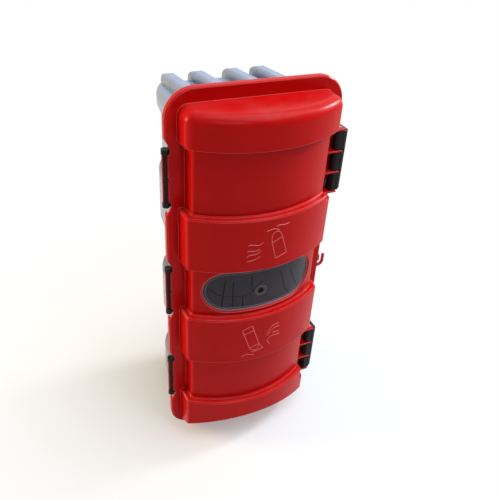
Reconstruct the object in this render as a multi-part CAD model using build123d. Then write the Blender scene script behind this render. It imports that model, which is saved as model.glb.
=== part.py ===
"""Fire extinguisher cabinet: a ribbed tub with a convex hinged door and two side latches.

Frame: X to the right, Y to the back, Z up, millimetres. The origin is the centre of the flat
back face, on the wall plane. The door faces -Y.
"""
import os

from build123d import *
from math import cos, radians, sin, sqrt, tan

os.makedirs("parts", exist_ok=True)

# Overall layout, depths measured from the wall plane
DEPTH_TO_RIM = 193.0        # wall plane to the front plane of the door's flange
DOOR_WIDTH = 300.0
DOOR_HEIGHT = 715.0
WALL = 3.0                  # moulded wall of tub and door
FLOOR_CLEARANCE = 5.0       # door's lower edge above the skids' soles

# Door flange and the section of its raised bands and sunk panels
FLANGE_RADIUS = 48.0
LIP_DEPTH = 10.0            # return lip, front plane to its back edge
EDGE_BEVEL = 2.2
BAND_MARGIN = 21.0          # flange's edge to the side of the bands
BAND_DEPTH = 77.0           # flange to the middle of a band's bow
BAND_SIDE_DEPTH = 35.0      # flange to the bow at a band's side
PANEL_INSET = 11.0          # side of the bands to the side of the panels
PANEL_STEP = 13.0           # how far the sunk panels lie behind the bands
PANEL_SIDE_DEPTH = 28.0
SIDE_LEAN = 2.0             # how far the side walls lean out at the flange
BAND_CORNER = 9.0
BROW_CORNER = 18.0
BROW_ROUND = 17.0           # round along the brow's top edge
HIDDEN_BEVEL = 0.8          # bevel inside a rounded edge, as a share of its inner radius
LEDGE_BEVEL = 2.4           # front edge of each ledge
LEDGE_COVE = 1.8            # inner corner of each ledge

# Heights down the door's front, the lower panel takes what is left
BROW_DROP = 23.0            # door's top edge to the brow
BROW_HEIGHT = 54.0
UPPER_BAND_HEIGHT = 98.0
WINDOW_PANEL_HEIGHT = 105.0
LOWER_BAND_HEIGHT = 101.0
FOOT_BAND_HEIGHT = 44.0
FOOT_SLOPE_HEIGHT = 42.0    # underside of the lowest band, sloping back to the flange
FOOT_MARGIN = 21.0          # door's bottom edge to that slope
UPPER_PANEL_EXTRA = 3.0     # how much taller the upper panel is than the lower one

# Window
WINDOW_WIDTH = 205.0
WINDOW_HEIGHT = 83.0
WINDOW_STEP = 2.6           # width and depth of the sunk step round the opening
WINDOW_STEP_DEPTH = 1.3
WINDOW_LAP = 5.0            # how far the pane laps over the opening
PANE_THICKNESS = 2.5

# Tub
RIM_GAP = 6.0               # flange's front plane to the rim's front face
RIM_SIDE_MARGIN = 10.0      # door's edge to the rim's edge
RIM_TOP_MARGIN = 10.0
RIM_BOTTOM_MARGIN = 7.5
RIM_SIDE_FLANGE = 4.0       # rim's edge to the tub's outer wall
RIM_TOP_FLANGE = 26.0
RIM_BOTTOM_FLANGE = 5.5
TUB_RECESS = 12.0           # how far the hinge recesses lie inside the side bands
TUB_CORNER = 28.0
TUB_BACK_ROUND = 60.0
TUB_TOP_ROUND = 20.0
SIDE_BAND_ROUND = 16.0
SIDE_DRAFT = 8.0            # degrees
TOP_DRAFT = 5.84            # degrees
RIB_X = (32.0, 85.0)        # ribs on the top and skids under the floor, both sides
RIB_RISE = 15.0
RIB_WIDTH = 27.0
RIB_ROUND = 8.0
RIB_ROOT = 47.0              # how far the ribs reach down into the tub's top
SKID_GAP = 1.5              # door's lip to the skids
SEAL_WIDTH = 3.4
SEAL_INSET = 3.2            # rim's edge to the seal
SEAL_GAP = 0.3              # seal to the closed door

# Inside of the tub
BACK_STRIP_WIDTH = 25.0     # two raised strips on the back wall, with the screw holes
BACK_STRIP_RISE = 4.0
BACK_STRIP_END = 25.0       # strip's end to the first screw
BOLT_X = 91.0               # left to right screws, centre to centre
BOLT_MARGIN = 107.5         # door's top or bottom edge to the screws
BOLT_HOLE_R = 4.25
BOLT_CUT = 20.0             # reach of the screw holes' cut, to both sides of the wall plane
STRAP_BOSS_R = 10.0         # bosses on the side walls that hold the extinguisher's strap
STRAP_BOSS_RISE = 5.0
STRAP_BOSS_SETBACK = 60.0   # boss in front of the wall plane
STRAP_BOSS_DROP = 11.5      # boss below the top of the lowest hinge recess

# Hinges on the left side
TOP_BAND_HEIGHT = 53.5      # tub's side band above the upper hinge recess
HINGE_MIDDLE_RISE = 0.5     # middle hinge above the door's middle
HINGE_BOTTOM_RISE = 147.0   # lower hinge above the door's bottom edge
HINGE_LENGTH = 100.0
HINGE_OFFSET = 1.5          # pin axis inside the door's left edge
HINGE_SETBACK = 5.0         # pin axis behind the flange's front plane
HINGE_PIN_R = 3.5
HINGE_RUNNING = 0.05        # radial clearance of the clip on the pin
CLIP_WALL = 1.9
CLIP_MOUTH = (200.0, 312.0)     # open part of the clip, degrees
LUG_R = 6.0
LUG_THICKNESS = 8.0
CLIP_GAP = 3.0              # slot halfway along a clip
LUG_CLEARANCE = 0.4         # bracket to the door's lip
BRACKET_SETBACK = 0.1       # bracket's edge behind the round of its lugs
BRACKET_LAP = 12.0          # how far the bracket laps behind the rim
END_PLAY = 0.7
NOTCH_DEPTH = 8.0
NOTCH_RAMP = 15.0

# Latches on the right side
LATCH_TOP_DROP = 144.5      # door's top edge to the middle of the upper latch
LATCH_BOTTOM_RISE = 131.5   # lower latch above the door's bottom edge
EAR_PITCH = 38.4
EAR_COUNT = 4
EAR_THICKNESS = 2.6
EAR_DEPTH = 20.0
POCKET_WIDTH = 12.0         # pocket's wall inside the band's right side
LATCH_PIN_INSET = 5.0       # pin axis inside the door's right edge
LATCH_PIN_FRONT = 11.0      # pin axis in front of the flange
LATCH_PIN_R = 2.5
LATCH_RUNNING = 0.05
PIN_END = 1.0               # pin proud of the outer ears
KNUCKLE_R = 8.0             # pin axis to a knuckle's flat sides
LATCH_PLAY = 1.6            # knuckle to ear
SPINE_THICKNESS = 3.4
SPINE_ROUND = 1.5
SPINE_CLEARANCE = 0.4       # spine to the swing of the ears' corners
HOOK_GAP = 1.5              # hook to keeper, closed
HOOK_THICKNESS = 4.0
HOOK_LAP = 4.0              # how far the hook reaches behind the keeper
HOOK_TAIL = 6.0
KEEPER_LENGTH = 11.0        # rim's edge to the keeper's edge
KEEPER_THICKNESS = 3.0
KEEPER_HEIGHT = 70.0
GUIDE_INSET = 9.9           # guide lugs inside the door's right edge
GUIDE_WIDTH = 5.4
GUIDE_HEIGHT = 10.0
GUIDE_OFFSETS = (10.7, -48.1)   # heights from the latch's middle
GUIDE_CLEARANCE = 1.2
GUIDE_RISE = 1.5            # lug's end in front of the flange

# Seal hook at the middle of the right side
SEAL_HOOK_FALL = 8.0        # hook's middle below the door's middle
SEAL_HOOK_BEND = 12.0       # outer radius of the bend, and the hook's reach
SEAL_HOOK_HEIGHT = 26.0
SEAL_HOOK_WIDTH = 4.4
SEAL_HOOK_THICKNESS = 4.0

# Derived places
Y_FLANGE = -DEPTH_TO_RIM
Y_RIM = Y_FLANGE + RIM_GAP
TUB_DEPTH = -Y_RIM
DOOR_EDGE = DOOR_WIDTH / 2
DOOR_TOP = DOOR_HEIGHT / 2
DOOR_BOTTOM = -DOOR_HEIGHT / 2
SOLE_Z = DOOR_BOTTOM - FLOOR_CLEARANCE
BAND_HALF = DOOR_EDGE - BAND_MARGIN
PANEL_HALF = BAND_HALF - PANEL_INSET
BROW_TOP = DOOR_TOP - BROW_DROP
BROW_BASE = BROW_TOP - BROW_HEIGHT
RAISED_HEIGHTS = (BROW_DROP + BROW_HEIGHT + UPPER_BAND_HEIGHT + LOWER_BAND_HEIGHT
                  + FOOT_BAND_HEIGHT + FOOT_SLOPE_HEIGHT + FOOT_MARGIN)
SUNK_HEIGHTS = DOOR_HEIGHT - RAISED_HEIGHTS - WINDOW_PANEL_HEIGHT
UPPER_BAND_TOP = BROW_BASE - (SUNK_HEIGHTS + UPPER_PANEL_EXTRA) / 2
UPPER_BAND_BASE = UPPER_BAND_TOP - UPPER_BAND_HEIGHT
LOWER_BAND_TOP = UPPER_BAND_BASE - WINDOW_PANEL_HEIGHT
LOWER_BAND_BASE = LOWER_BAND_TOP - LOWER_BAND_HEIGHT
FOOT_BAND_BASE = DOOR_BOTTOM + FOOT_MARGIN
FOOT_BAND_FRONT = FOOT_BAND_BASE + FOOT_SLOPE_HEIGHT
FOOT_BAND_TOP = FOOT_BAND_FRONT + FOOT_BAND_HEIGHT
WINDOW_Z = (UPPER_BAND_BASE + LOWER_BAND_TOP) / 2
RIM_HALF = DOOR_EDGE - RIM_SIDE_MARGIN
RIM_TOP = DOOR_TOP - RIM_TOP_MARGIN
RIM_BOTTOM = DOOR_BOTTOM + RIM_BOTTOM_MARGIN
RIM_RADIUS = FLANGE_RADIUS - RIM_SIDE_MARGIN
TUB_HALF = RIM_HALF - RIM_SIDE_FLANGE
TUB_TOP = RIM_TOP - RIM_TOP_FLANGE
TUB_FLOOR = RIM_BOTTOM + RIM_BOTTOM_FLANGE
HINGE_Z = (TUB_TOP - TOP_BAND_HEIGHT - HINGE_LENGTH / 2, HINGE_MIDDLE_RISE,
           DOOR_BOTTOM + HINGE_BOTTOM_RISE)
HINGE_X = HINGE_OFFSET - DOOR_EDGE
HINGE_Y = Y_FLANGE + HINGE_SETBACK
CLIP_R = HINGE_PIN_R + CLIP_WALL
LATCH_Z = (DOOR_TOP - LATCH_TOP_DROP, DOOR_BOTTOM + LATCH_BOTTOM_RISE)
LATCH_PIN_X = DOOR_EDGE - LATCH_PIN_INSET
LATCH_PIN_Y = Y_FLANGE - LATCH_PIN_FRONT
LATCH_HALF = EAR_PITCH * (EAR_COUNT - 1) / 2
POCKET_X = BAND_HALF - POCKET_WIDTH
KEEPER_X = RIM_HALF + KEEPER_LENGTH
SEAL_HOOK_Z = -SEAL_HOOK_FALL
BOLT_Z = DOOR_HEIGHT - 2 * BOLT_MARGIN
FAR = 2 * max(DOOR_WIDTH, DOOR_HEIGHT)      # beyond everything, for cutting tools
OVERRUN = 1.0               # cutting tools and roots past the face that they meet


def plane_at(y, z=0.0):
    """Sketch plane facing the front, X to the right and Z up, at depth y."""
    return Plane(origin=(0, y, z), x_dir=(1, 0, 0), z_dir=(0, -1, 0))


def slab(x_lo, x_hi, y_lo, y_hi, z_lo, z_hi):
    """Plain block between two corners."""
    size = (x_hi - x_lo, y_hi - y_lo, z_hi - z_lo)
    centre = ((x_lo + x_hi) / 2, (y_lo + y_hi) / 2, (z_lo + z_hi) / 2)
    return Pos(*centre) * Box(*size)


def upright(x, y, radius, z_lo, z_hi):
    """Vertical cylinder."""
    return Pos(x, y, (z_lo + z_hi) / 2) * Cylinder(radius, z_hi - z_lo)


def front_plate(shape, y_front, thickness):
    """A sketch in X and Z given its thickness towards the back."""
    return extrude(plane_at(y_front) * shape, amount=-thickness)


def side_prism(outline, x_mid, width):
    """An outline of Y and Z points given its width along X."""
    face = make_face(Polyline(*outline, close=True))
    return extrude(Plane.YZ.offset(x_mid - width / 2) * face, amount=width)


def rounded(edges, radius, inset):
    """Round of an outer form, or the plain bevel that stands for it in a hollow."""
    if inset > 0:
        return chamfer(edges, HIDDEN_BEVEL * (radius - inset))
    return fillet(edges, radius - inset)


def plan_prism(outline, z_lo, z_hi):
    """An outline of X and Y points raised between two heights."""
    return extrude(Pos(0, 0, z_lo) * make_face(Polyline(*outline, close=True)),
                   amount=z_hi - z_lo)


# Door moulding

def plan_profile(half, depth, side_depth, inset):
    """Plan of a bowed front: leaning sides and one arc, open side closed behind the flange."""
    half_in = half - inset
    y_side = Y_FLANGE - side_depth + inset
    y_back = Y_FLANGE + WALL + inset
    base = half_in + SIDE_LEAN
    edge = Polyline((-half_in, y_side), (-base, Y_FLANGE), (-base, y_back), (base, y_back),
                    (base, Y_FLANGE), (half_in, y_side))
    bow = ThreePointArc((half_in, y_side), (0, Y_FLANGE - depth + inset), (-half_in, y_side))
    return make_face([*edge.edges(), bow])


def bowed(half, depth, side_depth, z_lo, z_hi, corner, inset):
    """Bowed body between two heights with rounded upright corners at the front."""
    body = extrude(Pos(0, 0, z_lo) * plan_profile(half, depth, side_depth, inset),
                   amount=z_hi - z_lo)
    front_corners = body.edges().filter_by(Axis.Z).sort_by(Axis.Y)[:2]
    return rounded(front_corners, corner, inset)


def band_form(z_lo, z_hi, corner, inset):
    """One raised band, or its hollow when drawn in by the wall."""
    return bowed(BAND_HALF, BAND_DEPTH, BAND_SIDE_DEPTH, z_lo + inset, z_hi - inset, corner,
                 inset)


def panel_form(z_lo, z_hi, inset):
    """The sunk front between two heights."""
    return bowed(PANEL_HALF, BAND_DEPTH - PANEL_STEP, PANEL_SIDE_DEPTH, z_lo, z_hi,
                 BAND_CORNER, inset)


def brow(inset):
    """Hood over the upper panel, with a broad round along its top edge."""
    body = band_form(BROW_BASE, BROW_TOP, BROW_CORNER, inset)
    top = body.faces().sort_by(Axis.Z)[-1]
    rim = [e for e in top.edges() if e.center().Y < Y_FLANGE - OVERRUN]
    return rounded(rim, BROW_ROUND, inset)


def foot_band(inset):
    """Lowest band, with its underside sloping back to the flange."""
    body = band_form(FOOT_BAND_BASE, FOOT_BAND_TOP, BAND_CORNER, inset)
    low = FOOT_BAND_BASE + inset
    slope = FOOT_SLOPE_HEIGHT / BAND_DEPTH
    under = [(Y_FLANGE, low), (Y_FLANGE - FAR, low + slope * FAR), (Y_FLANGE - FAR, low - FAR),
             (Y_FLANGE, low - FAR)]
    return body - side_prism(under, 0, FAR)


def pocket(latch_z, inset):
    """Space that a latch takes out of a band's right end."""
    return slab(POCKET_X - inset, FAR, Y_FLANGE - FAR, Y_FLANGE + FAR,
                latch_z - LATCH_HALF - inset, latch_z + LATCH_HALF + inset)


def bulge(inset):
    """Whole front of the door: sunk panels with raised bands across them."""
    raised = brow(inset) + foot_band(inset)
    for z_lo, z_hi in ((UPPER_BAND_BASE, UPPER_BAND_TOP), (LOWER_BAND_BASE, LOWER_BAND_TOP)):
        raised += band_form(z_lo, z_hi, BAND_CORNER, inset)
    for latch_z in LATCH_Z:
        raised -= pocket(latch_z, inset)
    return raised + panel_form(FOOT_BAND_FRONT, BROW_TOP - BROW_CORNER, inset)


def ledge_arcs(body, z, depth):
    """Bowed edges of a band's top ledge at one depth of the bow."""
    y_bow = Y_FLANGE - depth
    return [e for e in body.edges().filter_by(GeomType.CIRCLE)
            if abs(e.center().Z - z) < 0.01 and e.length > BAND_HALF / 2
            and abs(e.position_at(0.5).Y - y_bow) < 2 * LEDGE_BEVEL]


def soften_ledges(body):
    """Bevel the front edge of each band's top ledge and fill its inner corner."""
    for z in (UPPER_BAND_TOP, LOWER_BAND_TOP, FOOT_BAND_TOP):
        body = chamfer(ledge_arcs(body, z, BAND_DEPTH), LEDGE_BEVEL)
        body = chamfer(ledge_arcs(body, z, BAND_DEPTH - PANEL_STEP), LEDGE_COVE)
    return body


def notch_outline(z_mid):
    """Notch in the flange's left edge at a hinge, with ramps at both ends."""
    half = HINGE_LENGTH / 2
    points = [(-DOOR_EDGE, z_mid - half - NOTCH_RAMP), (-DOOR_EDGE + NOTCH_DEPTH, z_mid - half),
              (-DOOR_EDGE + NOTCH_DEPTH, z_mid + half), (-DOOR_EDGE, z_mid + half + NOTCH_RAMP)]
    x_out = -DOOR_EDGE - OVERRUN
    outer = [(x_out, points[-1][1]), (x_out, points[0][1])]
    return make_face(Polyline(*points, *outer, close=True))


def flange_outline(inset):
    """Front outline of the door, drawn in by an inset."""
    return RectangleRounded(DOOR_WIDTH - 2 * inset, DOOR_HEIGHT - 2 * inset,
                            FLANGE_RADIUS - inset)


def flange():
    """Flange with its return lip, hinge notches and latch gaps."""
    plate = front_plate(flange_outline(0), Y_FLANGE, LIP_DEPTH)
    plate = chamfer(plate.faces().sort_by(Axis.Y)[0].edges(), EDGE_BEVEL)
    plate -= front_plate(flange_outline(WALL), Y_FLANGE + WALL, LIP_DEPTH)
    for z_mid in HINGE_Z:
        plate -= front_plate(notch_outline(z_mid), Y_FLANGE - OVERRUN, LIP_DEPTH + 2 * OVERRUN)
    for z_mid in LATCH_Z:
        plate -= slab(DOOR_EDGE - 2 * WALL, FAR, Y_FLANGE + WALL, FAR,
                      z_mid - LATCH_HALF - WALL, z_mid + LATCH_HALF + WALL)
    return plate


def ear_levels(latch_z):
    """Heights of the ears of a latch."""
    return [latch_z - LATCH_HALF + EAR_PITCH * i for i in range(EAR_COUNT)]


def latch_ears(latch_z):
    """Flat ears from the pocket's wall that hold the latch pin."""
    ears = []
    for z in ear_levels(latch_z):
        z_lo, z_hi = z - EAR_THICKNESS / 2, z + EAR_THICKNESS / 2
        ear = slab(POCKET_X - OVERRUN, DOOR_EDGE, Y_FLANGE - EAR_DEPTH, Y_FLANGE + OVERRUN,
                   z_lo, z_hi)
        ears.append(ear - upright(LATCH_PIN_X, LATCH_PIN_Y, LATCH_PIN_R, z_lo - OVERRUN,
                                  z_hi + OVERRUN))
    return ears


def guide_slots(latch_z, grow):
    """The openings in the flange at a latch, or the lugs that stand in them."""
    x_mid = DOOR_EDGE - GUIDE_INSET
    half_x, half_z = GUIDE_WIDTH / 2 + grow, GUIDE_HEIGHT / 2 + grow
    return [(x_mid - half_x, x_mid + half_x, latch_z + offset - half_z,
             latch_z + offset + half_z) for offset in GUIDE_OFFSETS]


def hinge_clip(z_mid):
    """Curled clip that wraps the pin from behind, open at the front, with a slot halfway."""
    half = HINGE_LENGTH / 2 - LUG_THICKNESS - 2 * END_PLAY
    z_lo, z_hi = z_mid - half, z_mid + half
    ring = upright(HINGE_X, HINGE_Y, CLIP_R, z_lo, z_hi)
    middle = sum(CLIP_MOUTH) / 2
    corners = [(FAR * cos(radians(a)), FAR * sin(radians(a)))
               for a in (CLIP_MOUTH[0], middle, CLIP_MOUTH[1])]
    ring -= Pos(HINGE_X, HINGE_Y, 0) * plan_prism([(0, 0), *corners], z_lo, z_hi)
    arm = slab(HINGE_X + HINGE_PIN_R, -DOOR_EDGE + NOTCH_DEPTH + OVERRUN, Y_FLANGE,
               Y_FLANGE + WALL, z_lo, z_hi)
    bore = upright(HINGE_X, HINGE_Y, HINGE_PIN_R + HINGE_RUNNING, z_lo - OVERRUN,
                   z_hi + OVERRUN)
    slot = slab(-FAR, -DOOR_EDGE + NOTCH_DEPTH, -FAR, HINGE_Y, z_mid - CLIP_GAP / 2,
                z_mid + CLIP_GAP / 2)
    return ring + arm - bore - slot


def seal_hook_form():
    """Flat hook with its roots, which reach into the flange's right edge."""
    z_low = SEAL_HOOK_Z - SEAL_HOOK_HEIGHT / 2
    x_stem = DOOR_EDGE + SEAL_HOOK_BEND
    centre = Pos(x_stem - SEAL_HOOK_BEND, z_low + SEAL_HOOK_BEND)
    bend = centre * (Circle(SEAL_HOOK_BEND) - Circle(SEAL_HOOK_BEND - SEAL_HOOK_WIDTH))
    bend &= centre * Rectangle(2 * SEAL_HOOK_BEND, SEAL_HOOK_BEND, align=(Align.MIN, Align.MAX))
    stem = Pos(x_stem, z_low + SEAL_HOOK_BEND) * Rectangle(
        SEAL_HOOK_WIDTH, SEAL_HOOK_HEIGHT - SEAL_HOOK_BEND, align=(Align.MAX, Align.MIN))
    foot = Pos(DOOR_EDGE, z_low) * Rectangle(WALL, SEAL_HOOK_WIDTH, align=(Align.MAX, Align.MIN))
    return front_plate(bend + stem + foot, Y_FLANGE, SEAL_HOOK_THICKNESS)


def seal_nub():
    """Nub on the flange's edge, across the gap from the seal hook's stem."""
    nub = Pos(DOOR_EDGE, SEAL_HOOK_Z) * Rectangle(WALL, SEAL_HOOK_HEIGHT / 2,
                                                  align=(Align.CENTER, Align.MIN))
    return front_plate(nub, Y_FLANGE, SEAL_HOOK_THICKNESS)


def window_prism(grow):
    """Prism with round ends through the front of the door."""
    outline = SlotOverall(WINDOW_WIDTH + 2 * grow, WINDOW_HEIGHT + 2 * grow)
    return front_plate(Pos(0, WINDOW_Z) * outline, Y_FLANGE - BAND_DEPTH - OVERRUN,
                       BAND_DEPTH - PANEL_SIDE_DEPTH / 2)


def window_step():
    """Sunk step round the window opening, as deep as the panel's bow everywhere."""
    z_lo, z_hi = LOWER_BAND_TOP, UPPER_BAND_BASE
    proud = panel_form(z_lo, z_hi, -OVERRUN)
    skin = proud - panel_form(z_lo - OVERRUN, z_hi + OVERRUN, WINDOW_STEP_DEPTH)
    return window_prism(WINDOW_STEP) & skin


def make_door():
    """Red door moulding in one piece."""
    body = flange() + soften_ledges(bulge(0)) - bulge(WALL)
    body = body - window_step() - window_prism(0)
    for latch_z in LATCH_Z:
        for ear in latch_ears(latch_z):
            body += ear
        for x_lo, x_hi, z_lo, z_hi in guide_slots(latch_z, GUIDE_CLEARANCE):
            body -= slab(x_lo, x_hi, Y_FLANGE - OVERRUN, Y_FLANGE + WALL + OVERRUN, z_lo, z_hi)
    for z_mid in HINGE_Z:
        body += hinge_clip(z_mid)
    return body + seal_nub()


def make_seal_hook(door):
    """Flat hook on the flange's right edge that holds a tamper seal."""
    return seal_hook_form() - door


def make_pane():
    """Smoked window pane, bowed like the panel behind which it sits."""
    z_lo, z_hi = WINDOW_Z - WINDOW_HEIGHT, WINDOW_Z + WINDOW_HEIGHT
    outer = panel_form(z_lo, z_hi, WALL)
    inner = panel_form(z_lo - OVERRUN, z_hi + OVERRUN, WALL + PANE_THICKNESS)
    return (outer - inner) & window_prism(WINDOW_LAP)


# Tub

def side_taper(y):
    """Amount by which the side walls draw in at depth y."""
    return (y - Y_RIM) * tan(radians(SIDE_DRAFT))


def top_drop(y):
    """Amount by which the tub's top falls at depth y."""
    return (y - Y_RIM) * tan(radians(TOP_DRAFT))


def tub_plan(half, inset):
    """Plan of the tub between its tapering sides."""
    y_front, y_back = Y_RIM - WALL, -inset
    front, back = half - inset - side_taper(y_front), half - inset - side_taper(0)
    return [(-front, y_front), (front, y_front), (back, y_back), (-back, y_back)]


def tub_side(low, high, sloping, inset):
    """Side view of the tub or of a rib, with a level floor and a sloping or level top."""
    y_front, y_back = Y_RIM - WALL, -inset
    drops = [top_drop(y) if sloping else 0.0 for y in (y_front, 0)]
    return [(y_front, low + inset), (y_back, low + inset), (y_back, high - inset - drops[1]),
            (y_front, high - inset - drops[0])]


def long_edges(body):
    """Edges of a block that run from front to back."""
    return [e for e in body.edges() if abs((e @ 1 - e @ 0).Y) > TUB_DEPTH / 2]


def block_form(half, z_lo, z_hi, corner, sloping, inset):
    """Tapering block from the rim to the wall plane with four rounded long edges."""
    body = plan_prism(tub_plan(half, inset), z_lo, z_hi)
    body &= side_prism(tub_side(z_lo, z_hi, sloping, inset), 0, FAR)
    return rounded(long_edges(body), corner, inset)


def rib_form(x, inset):
    """Rib over the tub's top that follows its slope."""
    outline = tub_side(TUB_TOP - RIB_ROOT, TUB_TOP + RIB_RISE, True, inset)
    body = side_prism(outline, x, RIB_WIDTH - 2 * inset)
    return rounded(long_edges(body), RIB_ROUND, inset)


def skid_form(x, inset):
    """Level rib under the tub on which it stands, behind the door's lip."""
    y_front = Y_FLANGE + LIP_DEPTH + SKID_GAP + inset
    low, high = SOLE_Z + inset, TUB_FLOOR + TUB_TOP_ROUND
    outline = [(y_front, low), (-inset, low), (-inset, high), (y_front, high)]
    body = side_prism(outline, x, RIB_WIDTH - 2 * inset)
    return rounded(long_edges(body), RIB_ROUND, inset)


def side_bands():
    """Heights of the outer bands between the hinge recesses, from the top."""
    half = HINGE_LENGTH / 2
    tops = [TUB_TOP, *[z - half for z in HINGE_Z]]
    bottoms = [*[z + half for z in HINGE_Z], TUB_FLOOR]
    return list(zip(bottoms, tops))


def back_limit(top, low_round, inset):
    """Body that rounds the back edges of the tub, in plan and in the side view."""
    body = plan_prism(tub_plan(TUB_HALF, inset), -FAR, FAR)
    body = fillet(body.edges().filter_by(Axis.Z).sort_by(Axis.Y)[-2:], TUB_BACK_ROUND - inset)
    low = TUB_FLOOR if top == TUB_TOP else SOLE_Z
    side = side_prism(tub_side(low, top, True, inset), 0, FAR)
    back = side.edges().filter_by(Axis.X).sort_by(Axis.Y)[-2:].sort_by(Axis.Z)
    side = fillet(back[1], TUB_TOP_ROUND - inset) & fillet(back[0], low_round - inset)
    return body & side


def tub_form(inset):
    """Outer form of the tub, or its hollow when drawn in by the wall."""
    core = block_form(TUB_HALF - TUB_RECESS, TUB_FLOOR, TUB_TOP, TUB_CORNER, True, inset)
    for z_lo, z_hi in side_bands():
        core += block_form(TUB_HALF, z_lo, z_hi, SIDE_BAND_ROUND, z_hi == TUB_TOP, inset)
    core &= back_limit(TUB_TOP, TUB_TOP_ROUND, inset)
    limit = back_limit(TUB_TOP + RIB_RISE, TUB_TOP_ROUND - RIB_ROUND, inset)
    for x in RIB_X:
        for side in (-x, x):
            core += (rib_form(side, inset) + skid_form(side, inset)) & limit
    return core


def bolt_points():
    """The four wall screws."""
    return [(x, z) for x in (-BOLT_X / 2, BOLT_X / 2) for z in (-BOLT_Z / 2, BOLT_Z / 2)]


def rim_outline(inset):
    """Outline of the tub's rim."""
    height = RIM_TOP - RIM_BOTTOM - 2 * inset
    return Pos(0, (RIM_TOP + RIM_BOTTOM) / 2) * RectangleRounded(
        2 * (RIM_HALF - inset), height, RIM_RADIUS - inset)


def back_strip(x):
    """Raised strip on the inside of the back wall that takes the screw holes."""
    half = BOLT_Z / 2 + BACK_STRIP_END
    strip = slab(x - BACK_STRIP_WIDTH / 2, x + BACK_STRIP_WIDTH / 2, -WALL - BACK_STRIP_RISE,
                 -WALL / 2, -half, half)
    return strip


def strap_boss(side):
    """Round boss, square to the inside of one side wall."""
    y = -STRAP_BOSS_SETBACK
    x_wall = TUB_HALF - TUB_RECESS - side_taper(y)
    z = HINGE_Z[-1] + HINGE_LENGTH / 2 - STRAP_BOSS_DROP
    axis = (-side * cos(radians(SIDE_DRAFT)), -sin(radians(SIDE_DRAFT)), 0)
    seat = Plane(origin=(side * x_wall, y, z), z_dir=axis)
    length = WALL + STRAP_BOSS_RISE
    return extrude(seat.offset(WALL / 2) * Circle(STRAP_BOSS_R), amount=length - WALL / 2)


def make_tub():
    """Grey tub: ribbed shell, flat rim, screw strips and strap bosses."""
    behind_rim = slab(-FAR, FAR, Y_RIM, 0, -FAR, FAR)
    shell = (tub_form(0) & behind_rim) + front_plate(rim_outline(0), Y_RIM, WALL)
    shell -= tub_form(WALL)
    for x in (-BOLT_X / 2, BOLT_X / 2):
        shell += back_strip(x)
    for x, z in bolt_points():
        shell -= Pos(x, 0, z) * Rot(90, 0, 0) * Cylinder(BOLT_HOLE_R, 2 * BOLT_CUT)
    for side in (-1, 1):
        shell += strap_boss(side)
    return shell


def make_rim_seal():
    """Rubber seal on the front of the rim."""
    depth = RIM_GAP - WALL - SEAL_GAP
    ring = rim_outline(SEAL_INSET) - rim_outline(SEAL_INSET + SEAL_WIDTH)
    return front_plate(ring, Y_RIM - depth, depth)


# Hinges

def lug_spans(z_mid):
    """Heights of the two end lugs."""
    end = HINGE_LENGTH / 2 - END_PLAY
    return ((z_mid - end, z_mid - end + LUG_THICKNESS), (z_mid + end - LUG_THICKNESS, z_mid + end))


def make_hinge_bracket(z_mid):
    """Bracket on the rim's left edge with its pin between two lugs."""
    end = HINGE_LENGTH / 2 - END_PLAY
    z_lo, z_hi = z_mid - end, z_mid + end
    face = HINGE_X + LUG_R + BRACKET_SETBACK
    y_lo, y_hi = Y_FLANGE + WALL + LUG_CLEARANCE, Y_RIM + WALL
    body = slab(face, -RIM_HALF, y_lo, y_hi + WALL, z_lo, z_hi)
    body += slab(face, -RIM_HALF + BRACKET_LAP, y_hi, y_hi + WALL, z_lo, z_hi)
    for lo, hi in lug_spans(z_mid):
        body += upright(HINGE_X, HINGE_Y, LUG_R, lo, hi)
        body += slab(HINGE_X, face + OVERRUN, y_lo, y_hi, lo, hi)
    return body + upright(HINGE_X, HINGE_Y, HINGE_PIN_R, z_lo, z_hi)


# Latches

def knuckle_spans(latch_z):
    """Heights of the knuckles between the ears."""
    gap = EAR_THICKNESS / 2 + LATCH_PLAY
    levels = ear_levels(latch_z)
    return [(levels[i] + gap, levels[i + 1] - gap) for i in range(EAR_COUNT - 1)]


def spine_x():
    """Inner face of the spine, just outside the corner of the ears as it swings."""
    return LATCH_PIN_X + SPINE_CLEARANCE + sqrt(LATCH_PIN_INSET ** 2
                                                + (EAR_DEPTH - LATCH_PIN_FRONT) ** 2)


def knuckle_outline(x_root):
    """Plan of a knuckle: a block round the pin with bevelled corners, rooted in the spine."""
    around = [(-1, 0.5), (-1, -0.5), (-0.5, -1), (1, -1)]
    outline = [(LATCH_PIN_X + KNUCKLE_R * a, LATCH_PIN_Y + KNUCKLE_R * b) for a, b in around]
    return outline + [(x_root, LATCH_PIN_Y - KNUCKLE_R / 2), (x_root, LATCH_PIN_Y + KNUCKLE_R),
                      (LATCH_PIN_X - KNUCKLE_R / 2, LATCH_PIN_Y + KNUCKLE_R)]


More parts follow.
